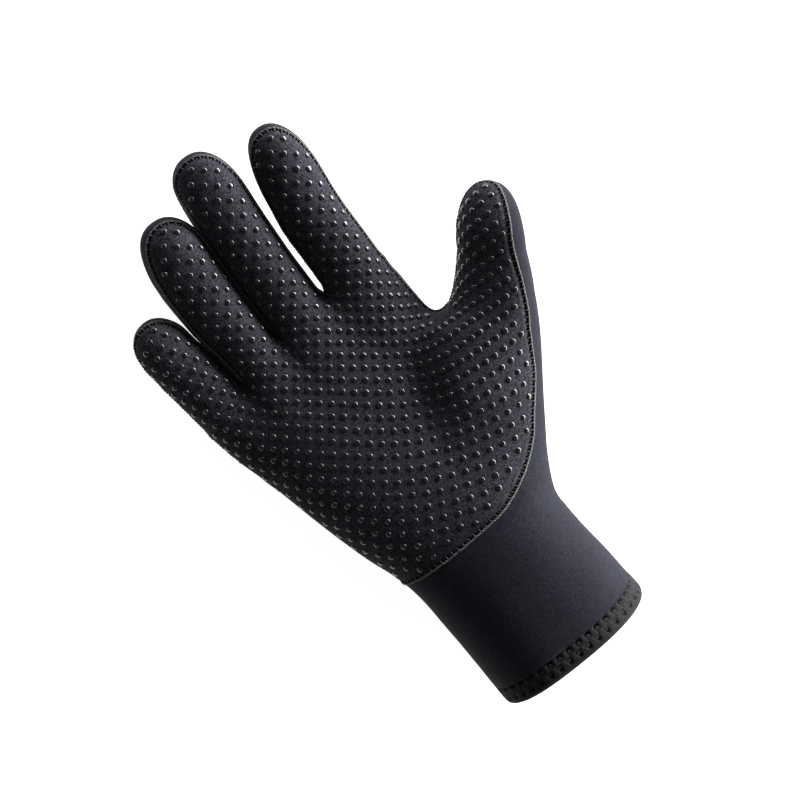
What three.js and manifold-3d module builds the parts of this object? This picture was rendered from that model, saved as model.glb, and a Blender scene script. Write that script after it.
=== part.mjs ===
// A right-hand diving glove of thick foamed rubber cloth, lying on its back with the palm up.
// Millimetres. +Z is up, out of the palm. +Y runs from the cuff to the fingertips, and the thumb is at +X.
// The origin is on the flattened back of the hand, below the middle of the palm.

import * as THREE from 'three';
import { mergeVertices } from 'three/addons/utils/BufferGeometryUtils.js';
import Module from 'manifold-3d';

// Cloth
const WALL = 3;
const SEAM_GAP = 0.3;

// Palm, from the wrist line to the crotches of the fingers
const PALM_LENGTH = 108;
const PALM_WIDTH = 99;
const PALM_DEPTH = 40;
const PALM_BEHIND_ORIGIN = 43;

// Gauntlet, from the wrist line to the hem
const GAUNTLET_LENGTH = 56;
const GAUNTLET_WIDTH = 71;
const GAUNTLET_DEPTH = 52;
const GAUNTLET_SHIFT = -5.5;

// Hem round the mouth
const HEM_HEIGHT = 9;
const HEM_WALL = 4;
const HEM_STANDS_OUT = 0.8;

// Fingers: width and depth at the widest, length from the root row, lean towards the thumb in degrees,
// how far the root row lies behind the crotches, and the share of the width that is left at the crotches
const LITTLE = { width: 24.2, depth: 21, length: 76.2, lean: -3, rootBack: 36, crotchShare: 0.97 };
const RING = { width: 26.9, depth: 23, length: 97, lean: 4.6, rootBack: 29, crotchShare: 0.87 };
const MIDDLE = { width: 25.8, depth: 23.5, length: 108, lean: 5.8, rootBack: 29, crotchShare: 0.96 };
const INDEX = { width: 26.6, depth: 23.5, length: 98, lean: 7.2, rootBack: 29, crotchShare: 1 };

// Clearances between neighbouring fingers where they leave the palm, and where the little finger's outer
// side stands, as a share of the palm's width from the origin
const FINGER_CLEARANCE = 0.5;
const INDEX_SPREAD = 1.6;
const LITTLE_SIDE = 0.597;

// Thumb: as the fingers, its tip placed from the origin
const THUMB = { width: 30, depth: 30, length: 118, lean: 37 };
const THUMB_TIP = { x: 92.5, y: 59.3 };

// Number of faces round a section
const BODY_SIDES = 40;
const DIGIT_SIDES = 16;

// How square a section of the palm, the gauntlet or a finger is: 2 is an ellipse
const BODY_SQUARENESS = 2.5;
const DIGIT_SQUARENESS = 2.25;

const WRIST_Y = -PALM_BEHIND_ORIGIN;
const HEM_Y = WRIST_Y - GAUNTLET_LENGTH;

// Gauntlet sections. along: share of the length, hem to wrist. shift, wide: shares of the gauntlet's width.
// low, high: the back and palm sides as shares of its depth. slant: how far the section falls back per
// millimetre across, because the mouth is cut slightly askew.
const GAUNTLET_ROWS = [
  { along: 0.00, shift: 0.003, wide: 1.000, low: -0.02, high: 1.00, slant: 0.030 },
  { along: 0.22, shift: 0.006, wide: 0.995, low: -0.02, high: 0.98, slant: 0.024 },
  { along: 0.48, shift: 0.006, wide: 0.985, low: -0.02, high: 0.95, slant: 0.016 },
  { along: 0.72, shift: 0.010, wide: 0.985, low: -0.01, high: 0.92, slant: 0.008 },
  { along: 0.92, shift: 0.018, wide: 1.010, low: -0.01, high: 0.89, slant: 0.000 },
];

// Palm sections. along: share of the length, wrist to crotches. left, right: shares of the palm's width
// measured from the origin. low, high: shares of its depth.
const PALM_ROWS = [
  { along: 0.04, left: 0.415, right: 0.340, low: -0.02, high: 1.10 },
  { along: 0.16, left: 0.450, right: 0.350, low: -0.03, high: 1.08 },
  { along: 0.30, left: 0.482, right: 0.365, low: -0.04, high: 1.04 },
  { along: 0.45, left: 0.510, right: 0.385, low: -0.04, high: 0.98 },
  { along: 0.60, left: 0.536, right: 0.405, low: -0.03, high: 0.91 },
  { along: 0.75, left: 0.560, right: 0.410, low: 0.00, high: 0.84 },
  { along: 0.87, left: 0.570, right: 0.405, low: 0.05, high: 0.77 },
  { along: 0.93, left: 0.420, right: 0.385, low: 0.10, high: 0.72 },
  { along: 0.97, left: 0.270, right: 0.340, low: 0.16, high: 0.66 },
  { along: 1.00, left: 0.150, right: 0.230, low: 0.26, high: 0.56 },
];

// Finger sections. along: share of the length, root to tip. side: share of the width, towards the thumb.
// rise: height of the middle as a share of the palm's depth. wide, deep: shares of the width and depth.
const LITTLE_ROWS = [
  { along: 0.00, side: 0.08, rise: 0.42, wide: 0.78, deep: 0.95 },
  { along: 0.16, side: 0.03, rise: 0.42, wide: 0.92, deep: 1.12 },
  { along: 0.38, side: 0.00, rise: 0.42, wide: 0.99, deep: 1.08 },
  { along: 0.62, side: 0.00, rise: 0.43, wide: 0.98, deep: 0.99 },
  { along: 0.77, side: 0.00, rise: 0.46, wide: 0.94, deep: 0.94 },
  { along: 0.87, side: 0.01, rise: 0.48, wide: 0.86, deep: 0.86 },
  { along: 0.94, side: 0.02, rise: 0.50, wide: 0.70, deep: 0.68 },
  { along: 0.98, side: 0.02, rise: 0.51, wide: 0.44, deep: 0.42 },
];
const RING_ROWS = [
  { along: 0.00, side: 0.00, rise: 0.42, wide: 0.82, deep: 1.16 },
  { along: 0.22, side: 0.00, rise: 0.42, wide: 0.86, deep: 1.10 },
  { along: 0.40, side: -0.04, rise: 0.42, wide: 0.91, deep: 1.03 },
  { along: 0.55, side: -0.075, rise: 0.43, wide: 0.97, deep: 1.00 },
  { along: 0.70, side: -0.075, rise: 0.45, wide: 1.00, deep: 0.99 },
  { along: 0.80, side: -0.05, rise: 0.48, wide: 0.98, deep: 0.96 },
  { along: 0.88, side: -0.02, rise: 0.51, wide: 0.91, deep: 0.88 },
  { along: 0.94, side: 0.00, rise: 0.53, wide: 0.74, deep: 0.72 },
  { along: 0.98, side: 0.02, rise: 0.55, wide: 0.44, deep: 0.42 },
];
const MIDDLE_ROWS = [
  { along: 0.00, side: 0.00, rise: 0.42, wide: 0.90, deep: 1.14 },
  { along: 0.20, side: 0.00, rise: 0.42, wide: 0.95, deep: 1.08 },
  { along: 0.35, side: 0.00, rise: 0.41, wide: 0.96, deep: 1.02 },
  { along: 0.50, side: -0.02, rise: 0.42, wide: 0.96, deep: 1.00 },
  { along: 0.65, side: -0.03, rise: 0.44, wide: 0.97, deep: 0.99 },
  { along: 0.78, side: -0.01, rise: 0.47, wide: 1.00, deep: 0.96 },
  { along: 0.87, side: 0.00, rise: 0.51, wide: 0.96, deep: 0.90 },
  { along: 0.94, side: 0.00, rise: 0.54, wide: 0.77, deep: 0.74 },
  { along: 0.98, side: 0.00, rise: 0.56, wide: 0.44, deep: 0.42 },
];
const INDEX_ROWS = [
  { along: 0.00, side: 0.00, rise: 0.42, wide: 0.94, deep: 1.14 },
  { along: 0.20, side: -0.02, rise: 0.42, wide: 1.00, deep: 1.08 },
  { along: 0.40, side: -0.04, rise: 0.41, wide: 1.00, deep: 1.02 },
  { along: 0.58, side: -0.06, rise: 0.42, wide: 1.00, deep: 1.00 },
  { along: 0.72, side: -0.02, rise: 0.44, wide: 0.97, deep: 0.98 },
  { along: 0.82, side: 0.01, rise: 0.47, wide: 0.90, deep: 0.92 },
  { along: 0.90, side: 0.03, rise: 0.50, wide: 0.79, deep: 0.82 },
  { along: 0.95, side: 0.03, rise: 0.53, wide: 0.64, deep: 0.66 },
  { along: 0.985, side: 0.04, rise: 0.54, wide: 0.36, deep: 0.38 },
];

// Thumb sections, wrist to tip. left, right: shares of the thumb's width either side of its line.
// tilt: how far its pad climbs for each millimetre towards the outer side. square: how square it is.
const THUMB_ROWS = [
  { along: -0.13, left: 0.45, right: 0.44, rise: 0.55, deep: 0.80, tilt: 0.00, square: 2.25 },
  { along: -0.04, left: 0.65, right: 0.55, rise: 0.57, deep: 1.02, tilt: 0.00, square: 2.25 },
  { along: 0.10, left: 0.95, right: 0.56, rise: 0.58, deep: 1.18, tilt: 0.00, square: 2.25 },
  { along: 0.28, left: 1.10, right: 0.55, rise: 0.59, deep: 1.22, tilt: 0.00, square: 2.25 },
  { along: 0.42, left: 1.15, right: 0.545, rise: 0.60, deep: 1.14, tilt: 0.02, square: 2.25 },
  { along: 0.51, left: 1.00, right: 0.54, rise: 0.61, deep: 1.06, tilt: 0.07, square: 2.40 },
  { along: 0.555, left: 0.78, right: 0.53, rise: 0.62, deep: 1.00, tilt: 0.12, square: 2.60 },
  { along: 0.60, left: 0.60, right: 0.52, rise: 0.63, deep: 0.96, tilt: 0.17, square: 2.80 },
  { along: 0.70, left: 0.51, right: 0.485, rise: 0.64, deep: 0.90, tilt: 0.24, square: 3.00 },
  { along: 0.79, left: 0.49, right: 0.43, rise: 0.66, deep: 0.84, tilt: 0.25, square: 3.00 },
  { along: 0.86, left: 0.46, right: 0.37, rise: 0.68, deep: 0.76, tilt: 0.25, square: 2.90 },
  { along: 0.92, left: 0.40, right: 0.33, rise: 0.69, deep: 0.66, tilt: 0.24, square: 2.70 },
  { along: 0.96, left: 0.32, right: 0.25, rise: 0.70, deep: 0.52, tilt: 0.22, square: 2.60 },
  { along: 0.99, left: 0.17, right: 0.13, rise: 0.71, deep: 0.28, tilt: 0.20, square: 2.50 },
];

// Seam between the panels: heights from the middle of a section in half depths, at its left and right side
const FINGER_SEAMS = {
  little: { left: 0.15, right: 0.30 },
  ring: { left: 0.76, right: 0.30 },
  middle: { left: 0.45, right: 0.30 },
  index: { left: 0.45, right: 0.30 },
  thumb: { left: -0.10, right: 0.62, tip: 1.24 },
  palm: { left: -0.10, right: 0.20 },
};

// The thumb's outer seam climbs to its tip value over this stretch of the thumb, as shares of its length.
const THUMB_SEAM_CLIMB = { from: 0.36, to: 0.80 };

// The palm's own seam line rules up to here across the palm, as shares of its width from the origin: short
// of the thumb over the first stretch of the palm's length, and short of the little finger over the last.
const PALM_SEAM_REACH = { thumbSide: 0.335, thumbUpTo: 0.62, littleSide: 0.28, littleFrom: 0.80 };

// Tongue of the palm panel over the wrist: its end past the wrist line, how far it bulges, how far its
// rounded corner rises, and where the bulge and the corner stand as shares of the palm's width from
// the origin
const TONGUE = {
  end: 1.5, bulge: 1.5, rise: 22,
  bulgeStart: -0.5, bulgeMiddle: -0.2, cornerStart: 0.12, cornerMiddle: 0.34, cornerEnd: 0.47,
};

// How far the cutting solids reach past the glove
const REACH = 60;

const wasm = await Module();
wasm.setup();

const radians = THREE.MathUtils.degToRad;

// A closed solid from a geometry whose shared corners are merged.
function solid(geometry) {
  const bare = geometry.index ? geometry.toNonIndexed() : geometry.clone();
  bare.deleteAttribute('normal');
  bare.deleteAttribute('uv');
  const merged = mergeVertices(bare, 1e-4);
  return new wasm.Manifold(new wasm.Mesh({
    numProp: 3,
    vertProperties: Float32Array.from(merged.attributes.position.array),
    triVerts: Uint32Array.from(merged.index.array),
  }));
}

// The geometry of a solid.
function geometryOf(manifold) {
  const mesh = manifold.getMesh();
  const geometry = new THREE.BufferGeometry();
  geometry.setAttribute('position', new THREE.BufferAttribute(Float32Array.from(mesh.vertProperties), 3));
  geometry.setIndex(new THREE.BufferAttribute(Uint32Array.from(mesh.triVerts), 1));
  geometry.computeVertexNormals();
  return geometry;
}

const coordinates = (points) => points.flatMap((point) => point.toArray());

// A skin over rings of equal length, each end closed by a fan to a point.
function loft(rings, firstPoint, lastPoint) {
  const sides = rings[0].length;
  const points = [firstPoint, ...rings.flat(), lastPoint];
  const last = points.length - 1;
  const faces = [];
  const corner = (ring, side) => 1 + ring * sides + (side % sides);
  for (let side = 0; side < sides; side += 1) {
    faces.push(0, corner(0, side), corner(0, side + 1));
    for (let ring = 0; ring < rings.length - 1; ring += 1) {
      faces.push(corner(ring, side), corner(ring + 1, side), corner(ring, side + 1));
      faces.push(corner(ring, side + 1), corner(ring + 1, side), corner(ring + 1, side + 1));
    }
    faces.push(last, corner(rings.length - 1, side + 1), corner(rings.length - 1, side));
  }
  const geometry = new THREE.BufferGeometry();
  geometry.setAttribute('position', new THREE.Float32BufferAttribute(coordinates(points), 3));
  geometry.setIndex(faces);
  return geometry;
}

// The ring of one section: a squared ellipse standing across the line, leaning by its tilt, never below
// the floor.
function sectionRing(line, section, sides, floor) {
  const ring = [];
  const power = 2 / section.squareness;
  for (let side = 0; side < sides; side += 1) {
    const angle = (2 * Math.PI * side) / sides;
    const across = Math.sign(Math.cos(angle)) * Math.abs(Math.cos(angle)) ** power * section.halfWidth;
    const up = Math.sign(Math.sin(angle)) * Math.abs(Math.sin(angle)) ** power * section.halfDepth;
    const point = line.at(section.along - section.slant * across, section.side + across);
    point.z = Math.max(section.middle + section.tilt * across + up, floor);
    ring.push(point);
  }
  return ring;
}

// A straight line in plan from a root point, leaning from +Y towards +X.
function planLine(root, lean) {
  const heading = new THREE.Vector3(Math.sin(radians(lean)), Math.cos(radians(lean)), 0);
  const sideways = new THREE.Vector3(heading.y, -heading.x, 0);
  const at = (along, side) => root.clone().addScaledVector(heading, along).addScaledVector(sideways, side);
  return { at, heading, sideways };
}

// The sections pushed inwards by the wall, square to the profile that the half widths draw.
function inner(sections, wall) {
  return sections.map((section, index) => {
    const before = sections[Math.max(index - 1, 0)];
    const after = sections[Math.min(index + 1, sections.length - 1)];
    const run = after.along - before.along;
    const slope = (after.halfWidth - before.halfWidth) / run;
    const length = Math.hypot(1, Math.min(slope, 0));
    return {
      ...section,
      along: section.along + (wall * Math.min(slope, 0)) / length,
      halfWidth: Math.max(section.halfWidth - wall / length, wall / 3),
      halfDepth: Math.max(section.halfDepth - wall / length, wall / 3),
    };
  });
}

// A hollow body's outside or inside, from its sections.
function bodySkin(form, sections, tipAlong, floor) {
  const { line, sides } = form;
  const rings = sections.map((section) => sectionRing(line, section, sides, floor));
  const first = sections[0];
  const last = sections[sections.length - 1];
  const start = line.at(first.along, first.side);
  start.z = first.middle;
  const end = line.at(tipAlong, last.side);
  end.z = last.middle;
  return solid(loft(rings, start, end));
}

// The solid that takes the palm panel's share of a form: all above the slanted line between its two seams.
function aboveSeams(form, seams, gap) {
  const { clamp, mapLinear } = THREE.MathUtils;
  const { from, to } = THUMB_SEAM_CLIMB;
  const section = (item, along, share) => {
    const climb = clamp(mapLinear(item.along / form.length, from, to, 0, 1), 0, 1);
    const right = seams.right + climb * ((seams.tip ?? seams.right) - seams.right);
    const slope = ((right - seams.left) * item.halfDepth) / (2 * item.halfWidth) + item.tilt;
    const height = item.middle + ((right + seams.left) / 2) * item.halfDepth * share - gap;
    const width = item.halfWidth + form.margin;
    const cornersAt = [
      [-width, height - slope * width],
      [width, height + slope * width],
      [width, REACH],
      [-width, REACH],
    ];
    return cornersAt.map(([across, z]) => {
      const point = form.line.at(along, item.side + across);
      point.z = z;
      return point;
    });
  };
  const rows = form.sections;
  const last = rows[rows.length - 1];
  const rings = rows.map((item) => section(item, item.along, 1));
  rings.push(section(last, form.length + form.margin, 0));
  const middleOf = (ring) => ring.reduce((sum, p) => sum.add(p), new THREE.Vector3()).multiplyScalar(1 / 4);
  return solid(loft(rings, middleOf(rings[0]), middleOf(rings[rings.length - 1])));
}

// Palm and gauntlet, one form along +Y
const bodyLine = planLine(new THREE.Vector3(0, HEM_Y, 0), 0);
const gauntletSections = GAUNTLET_ROWS.map((row) => ({
  along: row.along * GAUNTLET_LENGTH,
  side: GAUNTLET_SHIFT + row.shift * GAUNTLET_WIDTH,
  halfWidth: (row.wide * GAUNTLET_WIDTH) / 2,
  middle: ((row.low + row.high) * GAUNTLET_DEPTH) / 2,
  halfDepth: ((row.high - row.low) * GAUNTLET_DEPTH) / 2,
  slant: row.slant,
  tilt: 0,
  squareness: BODY_SQUARENESS,
}));
const palmSections = PALM_ROWS.map((row) => ({
  along: GAUNTLET_LENGTH + row.along * PALM_LENGTH,
  side: ((row.right - row.left) * PALM_WIDTH) / 2,
  halfWidth: ((row.right + row.left) * PALM_WIDTH) / 2,
  middle: ((row.low + row.high) * PALM_DEPTH) / 2,
  halfDepth: ((row.high - row.low) * PALM_DEPTH) / 2,
  slant: 0,
  tilt: 0,
  squareness: BODY_SQUARENESS,
}));
const body = {
  line: bodyLine,
  length: GAUNTLET_LENGTH + PALM_LENGTH + WALL / 2,
  sections: [...gauntletSections, ...palmSections],
  sides: BODY_SIDES,
  margin: FINGER_CLEARANCE,
};

// A digit's form from its rows.
function digit(size, rows, root, extent) {
  return {
    line: planLine(root, size.lean),
    length: size.length,
    sections: rows.map((row) => ({
      along: row.along * size.length, middle: row.rise * PALM_DEPTH, slant: 0, ...extent(row),
    })),
    sides: DIGIT_SIDES,
    margin: FINGER_CLEARANCE / 3,
  };
}
const fingerExtent = (size) => (row) => ({
  side: row.side * size.width,
  halfWidth: (row.wide * size.width) / 2,
  halfDepth: (row.deep * size.depth) / 2,
  tilt: 0,
  squareness: DIGIT_SQUARENESS,
});
const thumbExtent = (row) => ({
  side: ((row.right - row.left) * THUMB.width) / 2,
  halfWidth: ((row.right + row.left) * THUMB.width) / 2,
  halfDepth: (row.deep * THUMB.depth) / 2,
  tilt: row.tilt,
  squareness: row.square,
});

// Roots of the fingers side by side across the palm, each set off from the one before
const crotchY = WRIST_Y + PALM_LENGTH;
const rootAt = (x, size) => new THREE.Vector3(
  x - size.rootBack * Math.tan(radians(size.lean)), crotchY - size.rootBack, 0);
const halfAtCrotch = (size) => (size.width * size.crotchShare) / 2;
const littleX = -LITTLE_SIDE * PALM_WIDTH + halfAtCrotch(LITTLE);
const ringX = littleX + halfAtCrotch(LITTLE) + halfAtCrotch(RING) + FINGER_CLEARANCE;
const middleX = ringX + halfAtCrotch(RING) + halfAtCrotch(MIDDLE) + FINGER_CLEARANCE;
const indexX = middleX + halfAtCrotch(MIDDLE) + halfAtCrotch(INDEX) + INDEX_SPREAD;
const thumbHeading = planLine(new THREE.Vector3(), THUMB.lean).heading;
const thumbTip = new THREE.Vector3(THUMB_TIP.x, THUMB_TIP.y, 0);
const thumbRoot = thumbTip.clone().addScaledVector(thumbHeading, -THUMB.length);

const digits = {
  little: digit(LITTLE, LITTLE_ROWS, rootAt(littleX, LITTLE), fingerExtent(LITTLE)),
  ring: digit(RING, RING_ROWS, rootAt(ringX, RING), fingerExtent(RING)),
  middle: digit(MIDDLE, MIDDLE_ROWS, rootAt(middleX, MIDDLE), fingerExtent(MIDDLE)),
  index: digit(INDEX, INDEX_ROWS, rootAt(indexX, INDEX), fingerExtent(INDEX)),
  thumb: digit(THUMB, THUMB_ROWS, thumbRoot, thumbExtent),
};

const fuse = (solids) => solids.reduce((sum, next) => sum.add(next));

// The glove's skin: all outsides fused, less all insides fused, the palm's inside running out of the mouth
const outsides = [bodySkin(body, body.sections, body.length, 0)];
const mouth = { ...body.sections[0], along: -2 * HEM_HEIGHT };
const insides = [bodySkin(body, inner([mouth, ...body.sections], WALL), body.length - WALL, WALL)];
for (const form of Object.values(digits)) {
  outsides.push(bodySkin(form, form.sections, form.length, 0));
  insides.push(bodySkin(form, inner(form.sections, WALL), form.length - WALL, WALL));
}
const skin = fuse(outsides).subtract(fuse(insides));

// The tongue's outline in plan, open towards the fingers, moved outwards by the gap.
function tonguePrism(gap) {
  const end = WRIST_Y + TONGUE.end - gap;
  const corner = { x: TONGUE.cornerEnd * PALM_WIDTH + gap, y: WRIST_Y + TONGUE.rise - gap };
  const slant = new THREE.Vector2(thumbHeading.x, thumbHeading.y).multiplyScalar(3 * PALM_LENGTH);
  const across = (share) => share * PALM_WIDTH;
  const shape = new THREE.Shape();
  shape.moveTo(-PALM_WIDTH, end);
  shape.lineTo(across(TONGUE.bulgeStart), end);
  shape.quadraticCurveTo(across(TONGUE.bulgeMiddle), end - TONGUE.bulge, across(TONGUE.cornerStart), end);
  shape.quadraticCurveTo(across(TONGUE.cornerMiddle), end + TONGUE.rise / 5, corner.x, corner.y);
  shape.lineTo(corner.x + slant.x + PALM_WIDTH, corner.y + slant.y);
  shape.lineTo(-PALM_WIDTH, corner.y + slant.y);
  const options = { depth: 2 * REACH, bevelEnabled: false, curveSegments: 12 };
  return solid(new THREE.ExtrudeGeometry(shape, options));
}

// The palm panel's region: above the seams of every form, inside the tongue's outline.
function palmRegion(gap) {
  const palmRows = body.sections.slice(GAUNTLET_ROWS.length - 1).map((item) => {
    const share = (item.along - GAUNTLET_LENGTH) / PALM_LENGTH;
    const leftReach = share > PALM_SEAM_REACH.littleFrom ? PALM_SEAM_REACH.littleSide : 1;
    const rightReach = share < PALM_SEAM_REACH.thumbUpTo ? PALM_SEAM_REACH.thumbSide : 1;
    const left = Math.max(item.side - item.halfWidth, -leftReach * PALM_WIDTH);
    const right = Math.min(item.side + item.halfWidth, rightReach * PALM_WIDTH);
    return { ...item, side: (left + right) / 2, halfWidth: (right - left) / 2 };
  });
  const parts = [aboveSeams({ ...body, sections: palmRows }, FINGER_SEAMS.palm, gap)];
  for (const [name, form] of Object.entries(digits)) {
    parts.push(aboveSeams(form, FINGER_SEAMS[name], gap));
  }
  return fuse(parts).intersect(tonguePrism(gap));
}

const palmPanel = skin.intersect(palmRegion(0));
const backPanel = skin.subtract(palmRegion(SEAM_GAP));

// The hem: a band round the mouth, its section a strip with a half-round edge, as rings joined into a tube.
function hemGeometry() {
  const edge = body.sections[0];
  const near = -SEAM_GAP;
  const far = near - HEM_HEIGHT;
  const middleOut = HEM_STANDS_OUT - HEM_WALL / 2;
  const edgeSteps = 6;
  const profile = [
    { along: near, out: 0 },
    { along: near - HEM_STANDS_OUT, out: HEM_STANDS_OUT },
  ];
  for (let step = 0; step <= edgeSteps; step += 1) {
    const angle = (Math.PI * step) / edgeSteps;
    profile.push({
      along: far + (HEM_WALL / 2) * (1 - Math.sin(angle)),
      out: middleOut + (HEM_WALL / 2) * Math.cos(angle),
    });
  }
  profile.push({ along: near, out: HEM_STANDS_OUT - HEM_WALL });
  const rings = profile.map(({ along, out }) => sectionRing(body.line, {
    ...edge, along, halfWidth: edge.halfWidth + out, halfDepth: edge.halfDepth + out,
  }, BODY_SIDES, Math.max(-out, 0)));
  const points = rings.flat();
  const faces = [];
  const corner = (ring, side) => (ring % rings.length) * BODY_SIDES + (side % BODY_SIDES);
  for (let ring = 0; ring < rings.length; ring += 1) {
    for (let side = 0; side < BODY_SIDES; side += 1) {
      faces.push(corner(ring, side), corner(ring, side + 1), corner(ring + 1, side));
      faces.push(corner(ring, side + 1), corner(ring + 1, side + 1), corner(ring + 1, side));
    }
  }
  const geometry = new THREE.BufferGeometry();
  geometry.setAttribute('position', new THREE.Float32BufferAttribute(coordinates(points), 3));
  geometry.setIndex(faces);
  return geometry;
}

const dottedCloth = new THREE.MeshStandardMaterial({ color: 0x26252b, roughness: 0.8, metalness: 0 });
const smoothCloth = new THREE.MeshStandardMaterial({ color: 0x2b2d3a, roughness: 0.7, metalness: 0 });
const hemCloth = new THREE.MeshStandardMaterial({ color: 0x303033, roughness: 0.75, metalness: 0 });

function piece(name, geometry, material) {
  const mesh = new THREE.Mesh(geometry, material);
  mesh.name = name;
  return mesh;
}

const glove = new THREE.Group();
glove.add(piece('palm_panel', geometryOf(palmPanel), dottedCloth));
glove.add(piece('back_panel', geometryOf(backPanel), smoothCloth));
glove.add(piece('cuff_hem', hemGeometry(), hemCloth));

export default glove;
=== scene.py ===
import math

import bpy
import numpy as np
from mathutils import Matrix, Vector


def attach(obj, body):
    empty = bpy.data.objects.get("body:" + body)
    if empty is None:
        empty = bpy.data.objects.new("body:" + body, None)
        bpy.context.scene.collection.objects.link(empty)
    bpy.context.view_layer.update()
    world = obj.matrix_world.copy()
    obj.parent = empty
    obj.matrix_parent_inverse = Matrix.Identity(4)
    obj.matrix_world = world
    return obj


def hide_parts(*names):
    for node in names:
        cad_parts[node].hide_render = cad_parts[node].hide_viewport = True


# A right-hand diving glove of foamed rubber cloth, lying on its back with the palm up.
# Lengths are in millimetres up to the meshes, which are in metres.
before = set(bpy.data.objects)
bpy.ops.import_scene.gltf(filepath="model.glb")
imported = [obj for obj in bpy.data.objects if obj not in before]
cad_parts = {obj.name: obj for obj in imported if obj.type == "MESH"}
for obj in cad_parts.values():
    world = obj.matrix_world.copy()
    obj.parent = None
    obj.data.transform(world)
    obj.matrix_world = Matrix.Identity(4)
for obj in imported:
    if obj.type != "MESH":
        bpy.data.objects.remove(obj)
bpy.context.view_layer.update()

MM = 0.001
WALL = 3.0

# Palm and gauntlet
PALM_LENGTH, PALM_WIDTH, PALM_DEPTH = 108.0, 99.0, 40.0
GAUNTLET_LENGTH, GAUNTLET_WIDTH, GAUNTLET_DEPTH, GAUNTLET_SHIFT = 56.0, 71.0, 52.0, -5.5
WRIST_Y = -43.0
HEM_Y = WRIST_Y - GAUNTLET_LENGTH
CROTCH_Y = WRIST_Y + PALM_LENGTH

# Gauntlet rows: along, shift, wide, low, high
GAUNTLET_ROWS = [
    (0.00, 0.010, 0.996, -0.02, 1.00),
    (0.22, 0.014, 0.990, -0.02, 0.98),
    (0.48, 0.013, 0.977, -0.02, 0.95),
    (0.72, 0.017, 0.976, -0.01, 0.92),
    (0.92, 0.024, 1.002, -0.01, 0.89),
]
MOUTH_SLANT = 0.018
# Roll of the body's section, at places along it from the hem
ROLL_ALONG, ROLL = [0, 30, 50, 62, 85, 105, 135, 155], [0, 0.05, 0.055, 0.035, 0, -0.03, -0.03, 0]

# Palm rows: along, left, right, low, high
PALM_ROWS = [
    (0.04, 0.415, 0.340, -0.02, 1.10),
    (0.16, 0.450, 0.350, -0.03, 1.08),
    (0.30, 0.482, 0.365, -0.04, 1.04),
    (0.45, 0.510, 0.385, -0.04, 0.98),
    (0.60, 0.536, 0.405, -0.03, 0.91),
    (0.75, 0.560, 0.410, 0.00, 0.84),
    (0.87, 0.570, 0.405, 0.05, 0.77),
    (0.93, 0.420, 0.385, 0.10, 0.72),
    (0.97, 0.270, 0.340, 0.16, 0.66),
    (1.00, 0.150, 0.230, 0.26, 0.56),
]

# Digits. A finger's rows: along, side, rise, wide, deep. The thumb's: along, left, right, rise, deep, roll,
# squareness. tilt: roll of a finger's section. cap: share of the length where the rounded tip starts.
# seams: heights of the seam at the left and right side.
LITTLE = dict(tilt=0.03, width=24.2, depth=21.0, length=76.2, lean=-3.0, back=36.0, share=0.97, cap=0.74,
              seams=(0.15, 0.30), rows=[
    (0.00, 0.08, 0.42, 0.78, 0.95), (0.16, 0.045, 0.42, 0.95, 1.12), (0.38, 0.02, 0.42, 1.03, 1.08),
    (0.62, 0.025, 0.43, 1.03, 0.99), (0.77, 0.015, 0.46, 0.96, 0.94), (0.87, 0.02, 0.48, 0.87, 0.86),
    (1.00, 0.02, 0.51, 0.44, 0.42)])
RING = dict(tilt=0.10, width=26.9, depth=23.0, length=97.0, lean=4.6, back=29.0, share=0.87, cap=0.76,
            seams=(0.76, 0.30), rows=[
    (0.00, 0.00, 0.42, 0.84, 1.16), (0.22, 0.00, 0.42, 0.90, 1.10), (0.40, -0.035, 0.42, 0.965, 1.03),
    (0.55, -0.070, 0.43, 1.03, 1.00), (0.70, -0.066, 0.45, 1.045, 0.99), (0.80, -0.04, 0.48, 1.01, 0.96),
    (0.88, -0.01, 0.51, 0.93, 0.88), (1.00, 0.01, 0.55, 0.46, 0.42)])
MIDDLE = dict(tilt=0.12, width=25.8, depth=23.5, length=108.0, lean=6.1, back=29.0, share=0.96, cap=0.78,
              seams=(0.45, 0.30), rows=[
    (0.00, 0.00, 0.42, 0.90, 1.14), (0.20, -0.035, 0.42, 0.985, 1.08), (0.35, -0.060, 0.41, 1.02, 1.02),
    (0.50, -0.075, 0.42, 1.035, 1.00), (0.65, -0.070, 0.44, 1.055, 0.99), (0.78, -0.045, 0.47, 1.07, 0.96),
    (0.87, -0.022, 0.51, 0.985, 0.90), (1.00, 0.00, 0.56, 0.44, 0.42)])
INDEX = dict(tilt=0.105, width=26.6, depth=23.5, length=98.0, lean=7.2, back=29.0, share=1.00, cap=0.70,
             seams=(0.45, 0.30), rows=[
    (0.00, 0.00, 0.42, 0.94, 1.14), (0.20, -0.02, 0.42, 1.00, 1.08), (0.40, -0.04, 0.41, 1.00, 1.02),
    (0.58, -0.06, 0.42, 1.00, 1.00), (0.72, -0.02, 0.44, 0.97, 0.98), (0.82, 0.01, 0.47, 0.90, 0.92),
    (0.90, 0.03, 0.50, 0.79, 0.82), (1.00, 0.04, 0.54, 0.36, 0.38)])
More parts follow.
